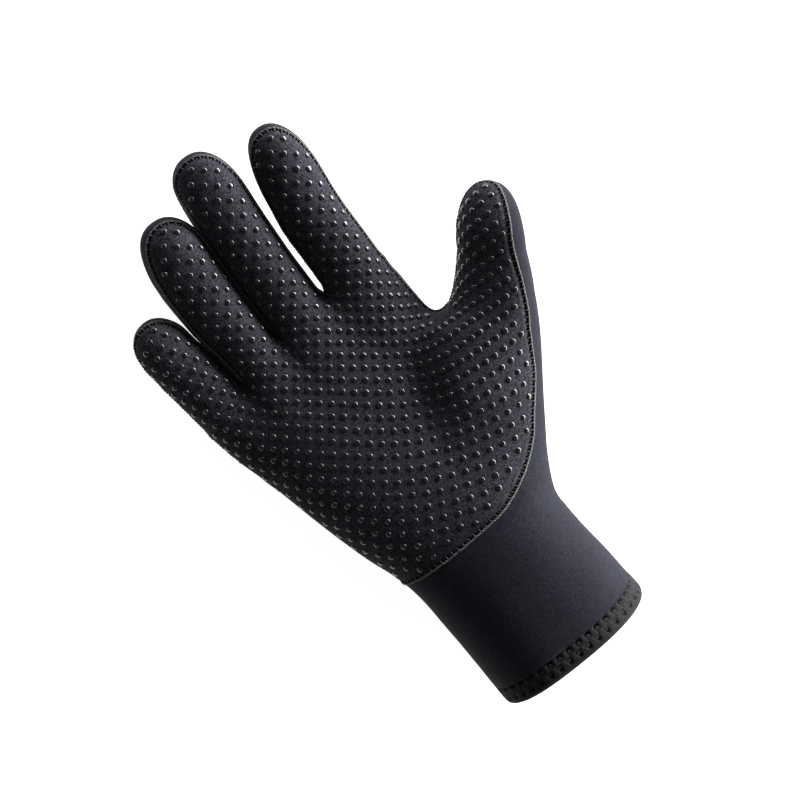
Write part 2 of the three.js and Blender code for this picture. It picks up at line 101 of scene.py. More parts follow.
THUMB = dict(width=30.0, depth=30.0, length=118.0, lean=37.0, cap=0.77, seams=(-0.10, 0.62), rows=[
    (-0.13, 0.45, 0.44, 0.55, 0.80, 0.00, 2.25), (-0.04, 0.65, 0.55, 0.57, 1.02, 0.00, 2.25),
    (0.10, 0.95, 0.56, 0.58, 1.18, 0.00, 2.25), (0.28, 1.10, 0.560, 0.59, 1.22, 0.00, 2.25),
    (0.42, 1.15, 0.565, 0.60, 1.14, 0.03, 2.25), (0.51, 1.00, 0.555, 0.61, 1.06, 0.09, 2.45),
    (0.555, 0.77, 0.54, 0.62, 1.00, 0.14, 2.55), (0.60, 0.59, 0.522, 0.63, 0.96, 0.21, 2.55),
    (0.70, 0.48, 0.478, 0.64, 0.90, 0.29, 2.55), (0.79, 0.435, 0.415, 0.66, 0.84, 0.30, 2.55),
    (0.86, 0.39, 0.355, 0.68, 0.76, 0.30, 2.50), (1.00, 0.26, 0.25, 0.71, 0.52, 0.25, 2.40)])
# The thumb's outer seam climbs towards the tip: its height there, and the stretch that it climbs over
THUMB_SEAM_TIP, THUMB_SEAM_FROM, THUMB_SEAM_TO = 1.24, 0.36, 0.80
THUMB_TIP = (92.4, 59.0)
FINGER_CLEARANCE, INDEX_SPREAD, LITTLE_SIDE = 0.5, 1.6, 0.597
PALM_SEAMS = (-0.10, 0.20)
BODY_SQUARENESS, DIGIT_SQUARENESS = 2.5, 2.25
TIP_ROUND, BODY_ROUND = 2.3, 1.7
# Share of the palm's length where its rounded end starts
PALM_CAP = 0.93
# How softly the fingers run into the palm, the thumb into both, and the skin into its flat
FINGER_BLEND, THUMB_BLEND, FLAT_BLEND = 5.0, 6.5, 1.6
# Where two fingers touch, each is pressed flat along a leaning face that keeps this gap.
PRESS_LEANS, PRESS_MIDDLE, PRESS_GAP = (0.30, 0.34, 0.0), 17.5, 0.55

# The skin is meshed with the fingers SPREAD_STEP further apart. Then one step at each finger gap, over a
# width of SPREAD_OVER, brings them together. A step wider than SPREAD_OVER would fold the cloth.
SPREAD_STEP = 3.0
TOGETHER_START, TOGETHER_STEPS = -5.0, (3.25, 3.25, 2.5)
SPREAD_OVER = 3.45
# The places along y where the spreading starts and is complete
SPREAD_FROM, SPREAD_FULL = 26.0, 56.0
# Size of a grid cell of the skin, and the grid's corners
PITCH = 1.25
GRID_LOW, GRID_HIGH = (-68.0, -103.0, -2.6), (104.0, 147.0, 56.0)
# Points nearer to a cut than this go onto it.
SNAP_REACH = 0.3 * PITCH
# Steps along the seam and its rolled edges
EDGE_STEP = 0.45
# Heights under this are drawn in, so that nothing reaches the floor.
FLOOR_ROOM = 0.25


def ramp(value, low, high):
    """0 below low, 1 above high, and 3 t^2 - 2 t^3 of the share t of the way between."""
    t = np.clip((value - low) / (high - low), 0, 1)
    return t * t * (3 - 2 * t)


def smooth_column(at, values, samples):
    """A monotone cubic through (at, values), read at samples: Hermite pieces with harmonic-mean slopes."""
    at, values = np.asarray(at, float), np.asarray(values, float)
    run = np.diff(at)
    rate = np.diff(values) / run
    slope = np.zeros(len(at))
    same = rate[:-1] * rate[1:] > 0
    mean = 2 * rate[:-1] * rate[1:] / np.where(same, rate[:-1] + rate[1:], 1)
    slope[1:-1] = np.where(same, mean, 0)
    slope[0], slope[-1] = rate[0], rate[-1]
    piece = np.clip(np.searchsorted(at, samples) - 1, 0, len(run) - 1)
    t = np.clip((samples - at[piece]) / run[piece], 0, 1)
    h = run[piece]
    return ((2 * t**3 - 3 * t**2 + 1) * values[piece] + (t**3 - 2 * t**2 + t) * h * slope[piece]
            + (3 * t**2 - 2 * t**3) * values[piece + 1] + (t**3 - t**2) * h * slope[piece + 1])


def form(root, lean, along, side, half_width, middle, half_depth, tilt, squareness, cap, length,
         round_end, seams, start, tip_seam=0.0, climb=0.0):
    """A lofted form: smooth columns of its sections over a fine row of places along its line. tip_seam is the
    seam's height at the tip, and climb is how far its right side climbs on the way there."""
    at = np.linspace(min(along), length, 500)
    held = np.minimum(at, cap)
    heading = np.array([math.sin(math.radians(lean)), math.cos(math.radians(lean))])
    climbed = np.clip((at / length - THUMB_SEAM_FROM) / (THUMB_SEAM_TO - THUMB_SEAM_FROM), 0, 1)
    return dict(root=np.array(root, float), heading=heading, at=at,
                side=smooth_column(along, side, at), middle=smooth_column(along, middle, at),
                wide=smooth_column(along, half_width, held), deep=smooth_column(along, half_depth, held),
                tilt=smooth_column(along, tilt, at), squareness=smooth_column(along, squareness, at),
                rise=climb * climbed, cap=cap, length=length, round_end=round_end,
                seams=seams, start=start, tip_seam=tip_seam)


def finger_form(size, x):
    """A finger from its table of rows, with its line through (x, crotch). Its section rolls by tilt above the
    root."""
    rows = np.array(size["rows"])
    lean = size["lean"]
    root = (x - size["back"] * math.tan(math.radians(lean)), CROTCH_Y - size["back"])
    return form(root, lean, rows[:, 0] * size["length"], rows[:, 1] * size["width"],
                rows[:, 3] * size["width"] / 2, rows[:, 2] * PALM_DEPTH, rows[:, 4] * size["depth"] / 2,
                size["tilt"] * ramp(rows[:, 0], 0.05, 0.40), 0 * rows[:, 0] + DIGIT_SQUARENESS,
                size["cap"] * size["length"], size["length"], TIP_ROUND, size["seams"], 0.0, tip_seam=0.5)


def thumb_form(size):
    """The thumb from its table of rows, with the end of its line at THUMB_TIP."""
    rows = np.array(size["rows"])
    lean = math.radians(size["lean"])
    root = (THUMB_TIP[0] - size["length"] * math.sin(lean), THUMB_TIP[1] - size["length"] * math.cos(lean))
    return form(root, size["lean"], rows[:, 0] * size["length"],
                (rows[:, 2] - rows[:, 1]) * size["width"] / 2,
                (rows[:, 2] + rows[:, 1]) * size["width"] / 2, rows[:, 3] * PALM_DEPTH,
                rows[:, 4] * size["depth"] / 2, rows[:, 5], rows[:, 6], size["cap"] * size["length"],
                size["length"], TIP_ROUND, size["seams"], rows[0, 0] * size["length"],
                climb=THUMB_SEAM_TIP - size["seams"][1])


def body_form():
    """Gauntlet and palm as one form along +Y: the gauntlet's rows, then the palm's. The gauntlet's section
    rolls a little one way and the palm's the other."""
    g, p = np.array(GAUNTLET_ROWS), np.array(PALM_ROWS)
    along = np.concatenate([[-30], g[:, 0] * GAUNTLET_LENGTH, GAUNTLET_LENGTH + p[:, 0] * PALM_LENGTH])
    side = np.concatenate([GAUNTLET_SHIFT + g[:, 1] * GAUNTLET_WIDTH, (p[:, 2] - p[:, 1]) * PALM_WIDTH / 2])
    wide = np.concatenate([g[:, 2] * GAUNTLET_WIDTH / 2, (p[:, 2] + p[:, 1]) * PALM_WIDTH / 2])
    middle = np.concatenate([(g[:, 3] + g[:, 4]) * GAUNTLET_DEPTH / 2, (p[:, 3] + p[:, 4]) * PALM_DEPTH / 2])
    deep = np.concatenate([(g[:, 4] - g[:, 3]) * GAUNTLET_DEPTH / 2, (p[:, 4] - p[:, 3]) * PALM_DEPTH / 2])
    first = lambda column: np.concatenate([column[:1], column])
    return form((0, HEM_Y), 0, along, first(side), first(wide), first(middle), first(deep),
                np.interp(along, ROLL_ALONG, ROLL),
                0 * along + BODY_SQUARENESS,
                GAUNTLET_LENGTH + PALM_CAP * PALM_LENGTH, GAUNTLET_LENGTH + PALM_LENGTH + WALL / 2,
                BODY_ROUND, PALM_SEAMS, -1000.0)


def half_at_crotch(size):
    """Half of a finger's width where it leaves the palm."""
    return size["width"] * size["share"] / 2


LITTLE_X = -LITTLE_SIDE * PALM_WIDTH + half_at_crotch(LITTLE)
RING_X = LITTLE_X + half_at_crotch(LITTLE) + half_at_crotch(RING) + FINGER_CLEARANCE
MIDDLE_X = RING_X + half_at_crotch(RING) + half_at_crotch(MIDDLE) + FINGER_CLEARANCE
INDEX_X = MIDDLE_X + half_at_crotch(MIDDLE) + half_at_crotch(INDEX) + INDEX_SPREAD
BODY = body_form()
THUMB_FORM = thumb_form(THUMB)
FINGERS = [finger_form(LITTLE, LITTLE_X), finger_form(RING, RING_X),
           finger_form(MIDDLE, MIDDLE_X), finger_form(INDEX, INDEX_X)]
SHIFTS = [SPREAD_STEP * (i - 1.5) for i in range(4)]
ROOT_ROUND = 12.0


def section_at(shape, x, y):
    """Place along and across a form's line, and its section there: half width, middle and half depth."""
    dx, dy = x - shape["root"][0], y - shape["root"][1]
    along = dx * shape["heading"][0] + dy * shape["heading"][1]
    across = dx * shape["heading"][1] - dy * shape["heading"][0]
    read = lambda column: np.interp(along, shape["at"], shape[column])
    across = across - read("side")
    return along, across, read("wide"), read("middle") + read("tilt") * across, read("deep")


def share_out(shape, x, y, z):
    """1 on a form's skin, less inside: a squared ellipse across, closed by a rounded end past the cap."""
    along, across, wide, middle, deep = section_at(shape, x, y)
    n, e = np.interp(along, shape["at"], shape["squareness"]), shape["round_end"]
    flat = ((np.abs(across) / wide) ** n + (np.abs(z - middle) / deep) ** n + 1e-9) ** (1 / n)
    tip = (along - shape["cap"]) / (shape["length"] - shape["cap"])
    root = (shape["start"] - along) / ROOT_ROUND
    end = np.maximum(np.maximum(tip, root), 0)
    return (flat**e + end**e) ** (1 / e)


def depth_in(shape, x, y, z):
    """Distance out of a form's skin, as its share out over the share's own slope."""
    step = 0.05
    here = share_out(shape, x, y, z)
    slope = np.sqrt((share_out(shape, x + step, y, z) - here) ** 2
                    + (share_out(shape, x, y + step, z) - here) ** 2
                    + (share_out(shape, x, y, z + step) - here) ** 2) / step
    return (here - 1) / np.maximum(slope, 1e-3)


def soft_min(a, b, k):
    """The lesser of a and b, less (k - |a - b|)^2 / 4k where they are within k of each other."""
    return np.minimum(a, b) - np.maximum(k - np.abs(a - b), 0) ** 2 / (4 * k)


def gap_line(left, right, y):
    """The middle of the gap between two neighbouring fingers, at y."""
    sides = []
    for shape, sign in ((left, 1), (right, -1)):
        along = (y - shape["root"][1]) / shape["heading"][1]
        centre = shape["root"][0] + along * shape["heading"][0]
        read = lambda column: np.interp(along, shape["at"], shape[column])
        sides.append(centre + read("side") + sign * read("wide"))
    return (sides[0] + sides[1]) / 2


def spread_fade(y):
    """How much of the spreading applies at y: none on the palm, all of it along the fingers."""
    return ramp(y, SPREAD_FROM, SPREAD_FULL)


def spread_at(x, y, z):
    """How far a point of the spread-out glove stands from its real place: the sum of the steps at the gaps
    that it is past. Each rises evenly over SPREAD_OVER about the gap's line, which leans as the faces do."""
    fade = spread_fade(y)
    total = np.full(np.shape(x), TOGETHER_START)
    for i in range(3):
        line = (gap_line(FINGERS[i], FINGERS[i + 1], y) + (SHIFTS[i] + SHIFTS[i + 1]) / 2 * fade
                + PRESS_LEANS[i] * (z - PRESS_MIDDLE))
        total = total + TOGETHER_STEPS[i] * np.clip((x - line) / SPREAD_OVER + 0.5, 0, 1)
    return total * fade


def together(points):
    """The spread-out glove's points in their real places."""
    moved = points.copy()
    moved[:, 0] -= spread_at(*points.T)
    return moved


def parts_field(p):
    """Distances out of the body, each finger and the thumb, for points of the spread-out glove. Neighbouring
    fingers are also held to their own side of the face between them, softly."""
    x, y, z = p[:, 0], p[:, 1], p[:, 2]
    real_x = x - spread_at(x, y, z)
    fade = spread_fade(y)
    found = [depth_in(BODY, real_x, y, z)]
    found += [depth_in(shape, x - shift * fade, y, z) for shape, shift in zip(FINGERS, SHIFTS)]
    for i in range(3):
        face = gap_line(FINGERS[i], FINGERS[i + 1], y) + PRESS_LEANS[i] * (z - PRESS_MIDDLE)
        for j, side in ((i, 1), (i + 1, -1)):
            past = side * (x - SHIFTS[j] * fade - face) + PRESS_GAP / 2 - 40 * (1 - fade)
            found[1 + j] = -soft_min(-found[1 + j], -past, 1.0)
    found.append(depth_in(THUMB_FORM, real_x, y, z))
    return np.array(found)


def glove_field(p):
    """Distance out of the glove: body, fingers and thumb run into each other softly, flat where it lies."""
    d = parts_field(p)
    fingers = d[1:5].min(0)
    whole = soft_min(soft_min(d[0], fingers, FINGER_BLEND), d[5], THUMB_BLEND)
    return -soft_min(-whole, p[:, 2], FLAT_BLEND)


def field_slope(p, field=glove_field, step=0.04):
    """A field and its slope by forward differences."""
    here = field(p)
    slope = np.stack([(field(p + step * np.eye(3)[i]) - here) / step for i in range(3)], 1)
    return here, slope


def settle(p, rounds=3):
    """Points moved along the field's slope onto the skin. Also gives the skin's normals there."""
    for _ in range(rounds):
        here, slope = field_slope(p)
        size = np.maximum((slope**2).sum(1), 0.05)
        p = p - slope * np.clip(here / size, -1.5, 1.5)[:, None]
    _, slope = field_slope(p)
    return p, slope / np.linalg.norm(slope, axis=1)[:, None]


def skin_quads(low, high, pitch):
    """The zero level of the field as quads: one point in each grid cell that the skin crosses."""
    axes = [np.arange(low[i], high[i] + pitch, pitch) for i in range(3)]
    grid = np.stack(np.meshgrid(*axes, indexing="ij"), -1)
    shape = grid.shape[:3]
    flat = grid.reshape(-1, 3)
    value = np.concatenate([glove_field(part) for part in np.array_split(flat, 24)]).reshape(shape)
    cells = tuple(n - 1 for n in shape)
    total, count = np.zeros(cells + (3,)), np.zeros(cells)
    for axis in range(3):
        others = [i for i in range(3) if i != axis]
        for corner in ((0, 0), (0, 1), (1, 0), (1, 1)):
            start = [0, 0, 0]
            start[others[0]], start[others[1]] = corner
            near = tuple(slice(start[i], start[i] + cells[i]) for i in range(3))
            start[axis] = 1
            far = tuple(slice(start[i], start[i] + cells[i]) for i in range(3))
            a, b = value[near], value[far]
            crossed = (a < 0) != (b < 0)
            t = np.where(crossed, a / np.where(crossed, a - b, 1), 0)[..., None]
            point = grid[near] * (1 - t) + grid[far] * t
            total += np.where(crossed[..., None], point, 0)
            count += crossed
    used = count > 0
    number = np.full(cells, -1)
    number[used] = np.arange(used.sum())
    points = total[used] / count[used][:, None]
    quads = []
    for axis in range(3):
        b_axis, c_axis = (axis + 1) % 3, (axis + 2) % 3
        first = tuple(slice(0, -1) if i == axis else slice(1, -1) for i in range(3))
        second = tuple(slice(1, None) if i == axis else slice(1, -1) for i in range(3))
        a, b = value[first] < 0, value[second] < 0
        at = np.argwhere(a != b)
        out = a[tuple(at.T)]
        at[:, b_axis] += 1
        at[:, c_axis] += 1
        ring = []
        for back_b, back_c in ((1, 1), (0, 1), (0, 0), (1, 0)):
            cell = at.copy()
            cell[:, b_axis] -= back_b
            cell[:, c_axis] -= back_c
            ring.append(number[tuple(cell.T)])
        ring = np.stack(ring, 1)
        quads.append(np.where(out[:, None], ring, ring[:, ::-1]))
    return points, np.concatenate(quads)


def relax(points, quads, rounds):
    """Evens out the quads: each point goes halfway to the middle of its neighbours, then back to the skin."""
    edges = np.concatenate([quads[:, [i, (i + 1) % 4]] for i in range(4)])
    count = np.bincount(edges[:, 0], minlength=len(points)) + np.bincount(edges[:, 1], minlength=len(points))
    count = np.maximum(count, 1)
    for _ in range(rounds):
        middle = np.stack([np.bincount(edges[:, 0], points[edges[:, 1], i], len(points))
                           + np.bincount(edges[:, 1], points[edges[:, 0], i], len(points))
                           for i in range(3)], 1) / count[:, None]
        points, _ = settle(points + 0.5 * (middle - points), 1)
    return points


def triangles_of(points, quads):
    """Quads cut along the shorter diagonal."""
    p = points[quads]
    short = np.linalg.norm(p[:, 0] - p[:, 2], axis=1) < np.linalg.norm(p[:, 1] - p[:, 3], axis=1)
    one = np.where(short[:, None], quads[:, [0, 1, 2]], quads[:, [0, 1, 3]])
    two = np.where(short[:, None], quads[:, [0, 2, 3]], quads[:, [1, 2, 3]])
    return np.concatenate([one, two])


def cut(points, triangles, level):
    """Cuts triangles along level 0. Gives the points with the cut's added, the triangles above and below."""
    a = triangles
    b = np.roll(triangles, -1, 1)
    crossed = level[a] * level[b] < 0
    keys = np.sort(np.stack([a[crossed], b[crossed]], 1), 1)
    unique, which = np.unique(keys, axis=0, return_inverse=True)
    which = which.reshape(-1)
    t = level[unique[:, 0]] / (level[unique[:, 0]] - level[unique[:, 1]])
    added = points[unique[:, 0]] * (1 - t)[:, None] + points[unique[:, 1]] * t[:, None]
    middle = np.full(a.shape, -1)
    middle[crossed] = len(points) + which
    sides = []
    for sign in (1, -1):
        keep = sign * level[a] >= 0
        slots = np.stack([a, middle], 2).reshape(-1, 6)
        valid = np.stack([keep, crossed], 2).reshape(-1, 6)
        some = (keep & (level[a] != 0)).any(1)
        slots, valid = slots[some], valid[some]
        order = np.argsort(~valid, axis=1, kind="stable")
        slots = np.take_along_axis(slots, order, 1)
        count = valid.sum(1)
        three = slots[count >= 3][:, [0, 1, 2]]
        four = slots[count == 4][:, [0, 2, 3]]
        sides.append(np.concatenate([three, four]))
    return np.concatenate([points, added]), sides[0], sides[1]


# End of the palm panel's tongue over the wrist, and how softly the seam turns into its outline
TONGUE_END, TONGUE_BLEND = WRIST_Y + 1.5, 5.0


def bow(start, control, end, count):
    """Points of a curve that leaves start towards control and reaches end."""
    t = np.linspace(0, 1, count)[:, None]
    start, control, end = (np.array(p, float) for p in (start, control, end))
    return (1 - t) ** 2 * start + 2 * t * (1 - t) * control + t**2 * end


TONGUE_LEFT, TONGUE_TURN = (-0.50 * PALM_WIDTH, TONGUE_END), (0.12 * PALM_WIDTH, TONGUE_END)
TONGUE_RIGHT = (0.47 * PALM_WIDTH, WRIST_Y + 22)
# The tongue's outline, as places across and along
TONGUE_LINE = np.concatenate([
    [(-120, TONGUE_END)],
    bow(TONGUE_LEFT, (-0.20 * PALM_WIDTH, TONGUE_END - 1.5), TONGUE_TURN, 10),
    bow(TONGUE_TURN, (0.34 * PALM_WIDTH, TONGUE_END + 4.4), TONGUE_RIGHT, 16)[1:],
    [(TONGUE_RIGHT[0] + 100, TONGUE_RIGHT[1] + 88)],
])


def seam_field(p):
    """Above 0 on the palm panel: height over the seams of the nearest forms, inside the tongue's line."""
    d = parts_field(p)
    x, y, z = p[:, 0], p[:, 1], p[:, 2]
    real_x = x - spread_at(x, y, z)
    fade = spread_fade(y)
    heights = []
    shapes = [BODY, *FINGERS, THUMB_FORM]
    places = [real_x, *(x - shift * fade for shift in SHIFTS), real_x]
    for shape, at in zip(shapes, places):
        along, across, wide, middle, deep = section_at(shape, at, y)
        tip = np.clip((along - shape["cap"]) / (shape["length"] - shape["cap"]), 0, 1)
        share = np.sqrt(np.maximum(1 - tip**2, 0))
        left, right = shape["seams"]
        right = right + np.interp(along, shape["at"], shape["rise"])
        heights.append(middle + deep * ((right + left) / 2 * share + shape["tip_seam"] * (1 - share)
                                        + (right - left) / 2 * np.clip(across / wide, -1.3, 1.3)))
    weight = np.exp(-np.clip(d - d.min(0), 0, 60) / 2.0)
    weight[0] *= 0.35
    height = z - (weight * np.array(heights)).sum(0) / weight.sum(0)
    line = np.interp(real_x, TONGUE_LINE[:, 0], TONGUE_LINE[:, 1])
    beyond = np.interp(real_x + 0.5, TONGUE_LINE[:, 0], TONGUE_LINE[:, 1])
    tongue = (y - line) / np.hypot(1, (beyond - line) / 0.5)
    return soft_min(height, tongue, TONGUE_BLEND)


def mouth_field(p):
    """Above 0 on the glove's side of the hem's line."""
    return p[:, 1] - (HEM_Y - MOUTH_SLANT * (p[:, 0] - GAUNTLET_SHIFT))


def snap(points, level_field, reach):
    """Points nearer to the level than reach go onto it, so that the cut leaves no slivers."""
    level, slope = field_slope(points, level_field)
    _, out = field_slope(points)
    out /= np.linalg.norm(out, axis=1)[:, None]
    slope -= (slope * out).sum(1)[:, None] * out
    size = np.maximum((slope**2).sum(1), 0.02)
    move = slope * (level / size)[:, None]
    near = np.linalg.norm(move, axis=1) < reach
    points = np.where(near[:, None], points - move, points)
    return points, np.where(near, 0.0, level_field(points))


def boundary_loop(triangles, count):
    """The longest loop of edges that only one triangle has, in order, by pointer jumping."""
    a = triangles.reshape(-1)
    b = np.roll(triangles, -1, 1).reshape(-1)
    key = a.astype(np.int64) * count + b
    other = b.astype(np.int64) * count + a
    lone = ~np.isin(key, other)
    a, b = a[lone], b[lone]
    after = np.full(count, -1)
    after[a] = b
    on = np.zeros(count, bool)
    on[a] = True
    label = np.where(on, np.arange(count), -1)
    jump = np.where(on, after, 0)
    low = label.copy()
    for _ in range(16):
        low = np.where(on, np.minimum(low, low[jump]), -1)
        jump = np.where(on, jump[jump], 0)
    names, sizes = np.unique(low[on], return_counts=True)
    start = names[np.argmax(sizes)]
    member = on & (low == start)
    steps = np.where(member & (after != start), 1, 0)
    jump = np.where(member & (after != start), after, np.arange(count))
    for _ in range(16):
        steps = steps + steps[jump]
        jump = jump[jump]
    found = np.flatnonzero(member)
    return found[np.argsort(-steps[found])]


def resample(loop, step, rounds=6):
    """A closed line smoothed a little and read at even steps."""
    for _ in range(rounds):
        loop = 0.5 * loop + 0.25 * (np.roll(loop, 1, 0) + np.roll(loop, -1, 0))
    ring = np.concatenate([loop, loop[:1]])
    run = np.concatenate([[0], np.cumsum(np.linalg.norm(np.diff(ring, axis=0), axis=1))])
    count = int(round(run[-1] / step))
    at = np.linspace(0, run[-1], count, endpoint=False)
    return np.stack([np.interp(at, run, ring[:, i]) for i in range(3)], 1), run[-1]


def new_piece(name, points, faces, material):
    """A mesh object of points in millimetres, riding on the one body. A height z under c = FLOOR_ROOM becomes
    c exp(z / c - 1)."""
    mesh = bpy.data.meshes.new(name)
    faces = np.asarray(faces)
    points = np.array(points, float)
    low = FLOOR_ROOM * np.exp(np.minimum(points[:, 2] / FLOOR_ROOM - 1, 0))
    points[:, 2] = np.where(points[:, 2] < FLOOR_ROOM, low, points[:, 2])
    mesh.vertices.add(len(points))
    mesh.vertices.foreach_set("co", (np.asarray(points) * MM).astype(np.float32).ravel())
    mesh.loops.add(faces.size)
    mesh.loops.foreach_set("vertex_index", faces.astype(np.int32).ravel())
    mesh.polygons.add(len(faces))
    mesh.polygons.foreach_set("loop_start", np.arange(0, faces.size, faces.shape[1], dtype=np.int32))
    mesh.update(calc_edges=True)
    mesh.polygons.foreach_set("use_smooth", np.ones(len(faces), bool))
    mesh.validate()
    piece = bpy.data.objects.new(name, mesh)
    bpy.context.scene.collection.objects.link(piece)
    mesh.materials.append(material)
    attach(piece, "root")
    return piece


def used_only(points, faces, *columns):
    """The points that the faces use, the faces with their new numbers, and the points' columns."""
    used, faces = np.unique(faces, return_inverse=True)
    faces = faces.reshape(-1, 3)
    return (points[used], faces, *(column[used] for column in columns))


def normals_of(points, triangles):
    """The points' normals: the sum of their triangles' cross products, at length 1."""
    p = points[triangles]
    face = np.cross(p[:, 1] - p[:, 0], p[:, 2] - p[:, 0])
    total = np.stack([np.bincount(triangles.reshape(-1), np.repeat(face[:, i], 3), len(points))
                      for i in range(3)], 1)
    return total / np.maximum(np.linalg.norm(total, axis=1), 1e-12)[:, None]


def grid_faces(rows, columns, close_rows=False, close_columns=False):
    """Quads of a grid of points, row by row, joined end to end where a direction is closed."""
    r = np.arange(rows if close_rows else rows - 1)
    c = np.arange(columns if close_columns else columns - 1)
    r, c = (g.reshape(-1) for g in np.meshgrid(r, c, indexing="ij"))
    at = lambda i, j: (i % rows) * columns + (j % columns)
    return np.stack([at(r, c), at(r + 1, c), at(r + 1, c + 1), at(r, c + 1)], 1)


# The skin and the seam line on it
points, quads = skin_quads(GRID_LOW, GRID_HIGH, PITCH)
points, _ = settle(points, 3)
points = relax(points, quads, 3)
triangles = triangles_of(points, quads)
points, level = snap(points, mouth_field, SNAP_REACH)
points, triangles, _ = cut(points, triangles, level)
points, level = snap(points, seam_field, SNAP_REACH)
points, palm_faces, back_faces = cut(points, triangles, level)
points, out = settle(points, 1)
loop = boundary_loop(palm_faces, len(points))
seam, seam_length = resample(points[loop], EDGE_STEP)
seam, seam_out = settle(seam, 2)


# Materials
def material(name, colour, roughness, **sockets):
    """A new material with its node tree and its shader."""
    made = bpy.data.materials.new(name)
    made.use_nodes = True
    shader = made.node_tree.nodes["Principled BSDF"]
    shader.inputs["Base Color"].default_value = (*colour, 1)
    shader.inputs["Roughness"].default_value = roughness
    for socket, value in sockets.items():
        shader.inputs[socket.replace("_", " ")].default_value = value
    return made, made.node_tree, shader


def node(tree, kind, **values):
    """A new node with the given sockets or settings."""
    made = tree.nodes.new(kind)
    for key, value in values.items():
        if key in made.inputs:
            made.inputs[key].default_value = value
        elif key.replace("_", " ") in made.inputs:
            made.inputs[key.replace("_", " ")].default_value = value
        else:
            setattr(made, key, value)
    return made


def mottled(tree, coordinates, dark, light, scale, low=0.35, high=0.65, detail=2.0):
    """A colour between dark and light by a noise of that many grains to the metre."""
    noise = node(tree, "ShaderNodeTexNoise", Scale=scale, Detail=detail)
    tree.links.new(coordinates, noise.inputs["Vector"])
    blend = node(tree, "ShaderNodeValToRGB")
    for element, at, colour in zip(blend.color_ramp.elements, (low, high), (dark, light)):
        element.position, element.color = at, (*colour, 1)
    tree.links.new(noise.outputs["Fac"], blend.inputs["Fac"])
    return blend.outputs["Color"]


def multiplied(tree, one, other):
    """The product of two colours."""
    mix = node(tree, "ShaderNodeMix", data_type="RGBA", blend_type="MULTIPLY")
    mix.inputs[0].default_value = 1.0
    tree.links.new(one, mix.inputs[6])
    tree.links.new(other, mix.inputs[7])
    return mix.outputs[2]


def grey_ramp(tree, value, low, high, dark, light):
    """A grey from dark at the value low to light at high."""
    blend = node(tree, "ShaderNodeValToRGB")
    for element, at, grey in zip(blend.color_ramp.elements, (low, high), (dark, light)):
        element.position, element.color = at, (grey, grey, grey, 1)
    tree.links.new(value, blend.inputs["Fac"])
    return blend.outputs["Color"]


def bumped(tree, shader, height, distance, strength, over=None):
    """The shader's normal, raised by a height, over an earlier bump if there is one."""
    bump = node(tree, "ShaderNodeBump", Distance=distance, Strength=strength)
    tree.links.new(height, bump.inputs["Height"])
    if over is not None:
        tree.links.new(over, bump.inputs["Normal"])
    tree.links.new(bump.outputs["Normal"], shader.inputs["Normal"])
    return bump.outputs["Normal"]


def knit_cloth(name, dark, light, grain, loops, roughness, wave, gloss):
    """Foamed rubber's knitted face: loops as small cells, speckled yarn, and wide soft patches, with painted
    shade where the hollow attribute marks hollows.
    """
    made, tree, shader = material(name, dark, roughness, Specular_IOR_Level=gloss)
    place = node(tree, "ShaderNodeTexCoord").outputs["Object"]
    yarn = mottled(tree, place, dark, light, grain, 0.33, 0.68, 3.0)
    wide = node(tree, "ShaderNodeTexNoise", Scale=wave, Detail=2.0)
    tree.links.new(place, wide.inputs["Vector"])
    patches = grey_ramp(tree, wide.outputs["Fac"], 0.3, 0.7, 0.82, 1.12)
    colour = multiplied(tree, yarn, patches)
    # Painted shade: where the hollow attribute is high, the colour falls towards 6 %, for the shade inside the
    # hollows.
    hollow = node(tree, "ShaderNodeAttribute", attribute_name="hollow")
    colour = multiplied(tree, colour, grey_ramp(tree, hollow.outputs["Fac"], 0.15, 0.8, 1.0, 0.06))
    tree.links.new(colour, shader.inputs["Base Color"])
    cells = node(tree, "ShaderNodeTexVoronoi", Scale=loops)
    tree.links.new(place, cells.inputs["Vector"])
    normal = bumped(tree, shader, cells.outputs["Distance"], 0.00022, 0.55)
    soft = node(tree, "ShaderNodeTexNoise", Scale=grain * 0.4, Detail=2.0)
    tree.links.new(place, soft.inputs["Vector"])
    bumped(tree, shader, soft.outputs["Fac"], 0.00018, 0.5, normal)
    return made


dotted_cloth = knit_cloth("dotted cloth", (0.006, 0.0057, 0.0076), (0.050, 0.048, 0.063), 1250, 1900,
                          0.85, 60, 0.10)
smooth_cloth = knit_cloth("smooth cloth", (0.0078, 0.0082, 0.0125), (0.0158, 0.0164, 0.0250), 900, 4200,
                          0.78, 45, 0.12)
hem_cloth = knit_cloth("hem cloth", (0.0095, 0.0095, 0.0110), (0.0180, 0.0180, 0.0205), 1500, 3200,
                       0.80, 60, 0.15)

dot_rubber, tree, shader = material("dot rubber", (0.004, 0.004, 0.004), 0.22, Specular_IOR_Level=0.72)
place = node(tree, "ShaderNodeTexCoord").outputs["Object"]
rubber = mottled(tree, place, (0.003, 0.003, 0.0035), (0.006, 0.006, 0.0065), 900)
tree.links.new(rubber, shader.inputs["Base Color"])
fine = node(tree, "ShaderNodeTexNoise", Scale=1800, Detail=1.0)
tree.links.new(place, fine.inputs["Vector"])
bumped(tree, shader, fine.outputs["Fac"], 0.00005, 0.4)


def thread(name, dark, light, roughness, sheen):
    """Twisted yarn: fine slanting bands in its colour and height."""
    made, tree, shader = material(name, dark, roughness, Sheen_Weight=sheen, Sheen_Roughness=0.4)
    place = node(tree, "ShaderNodeTexCoord").outputs["Object"]
    tree.links.new(mottled(tree, place, dark, light, 1400, 0.35, 0.65, 3.0), shader.inputs["Base Color"])
    bands = node(tree, "ShaderNodeTexWave", Scale=900, Distortion=2.0)
    tree.links.new(place, bands.inputs["Vector"])
    bumped(tree, shader, bands.outputs["Fac"], 0.0001, 0.6)
    return made


